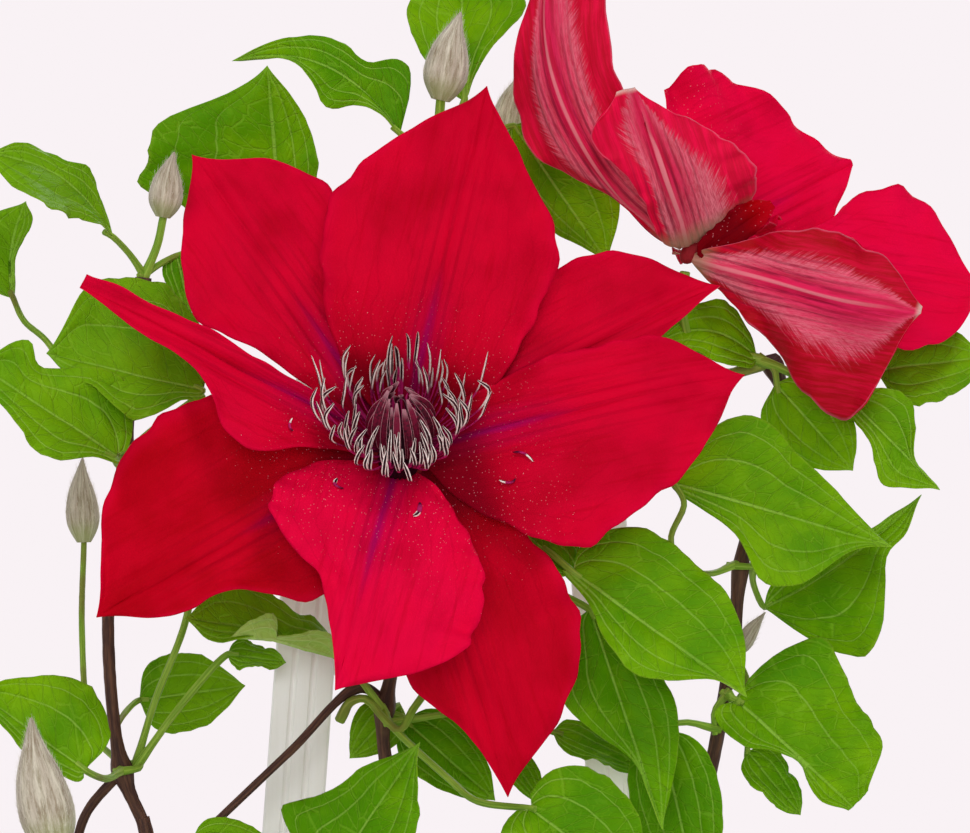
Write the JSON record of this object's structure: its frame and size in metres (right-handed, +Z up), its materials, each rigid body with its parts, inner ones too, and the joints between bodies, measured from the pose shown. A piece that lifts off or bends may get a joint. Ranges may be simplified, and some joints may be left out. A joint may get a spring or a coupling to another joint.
{
  "type": "potted climbing plant",
  "caption": "Large-flowered clematis climbing a moulded ladder trellis in a round nursery pot, with red blooms, hairy buds, egg-shaped leaflets and thin twining stems.",
  "frame": {"origin": "middle of the pot's flat underside, where it stands", "axes": "+Z up along the plant, -Y towards the side that the large bloom faces"},
  "size_m": [0.2156, 0.1613, 0.464],
  "materials": {
    "pot_plastic": "matt anthracite, fine moulded grain",
    "trellis_plastic": "white, satin, slightly translucent",
    "soil": "damp crumbly potting compost",
    "brown_stem": "thin peeling bark, ridged",
    "leaf": "satin, net-veined, paler below",
    "tepal": "velvety crimson with magenta ribs, pale hairy backs",
    "stamen": "wine-dark filaments, pale-edged anthers",
    "bud": "silvery silk hairs over purple green"
  },
  "bodies": {
    "root": {"pot": "pot_plastic", "trellis": "trellis_plastic", "soil": "soil", "leafy_stem_left": "leaf", "leafy_stem_middle": "leaf", "leafy_stem_right": "leaf", "stem_left": "brown_stem", "stem_middle": "brown_stem", "stem_right": "brown_stem", "front_bloom_tepals": "tepal", "front_bloom_stamens": "stamen", "back_bloom_tepals": "tepal", "back_bloom_stamens": "stamen", "spray_upper_left": "leaf", "bud_1": "bud", "spray_left": "leaf", "spray_low_left": "leaf", "bud_2": "bud", "spray_low_middle": "leaf", "spray_low_front": "leaf", "spray_low_side": "leaf", "spray_top": "leaf", "bud_3": "bud", "bud_4": "bud", "spray_middle_right": "leaf", "spray_right": "leaf", "spray_low_right": "leaf", "bud_5": "bud", "spray_upper_right": "leaf", "spray_big_bud": "leaf", "bud_6": "bud"}
  },
  "joints": []
}
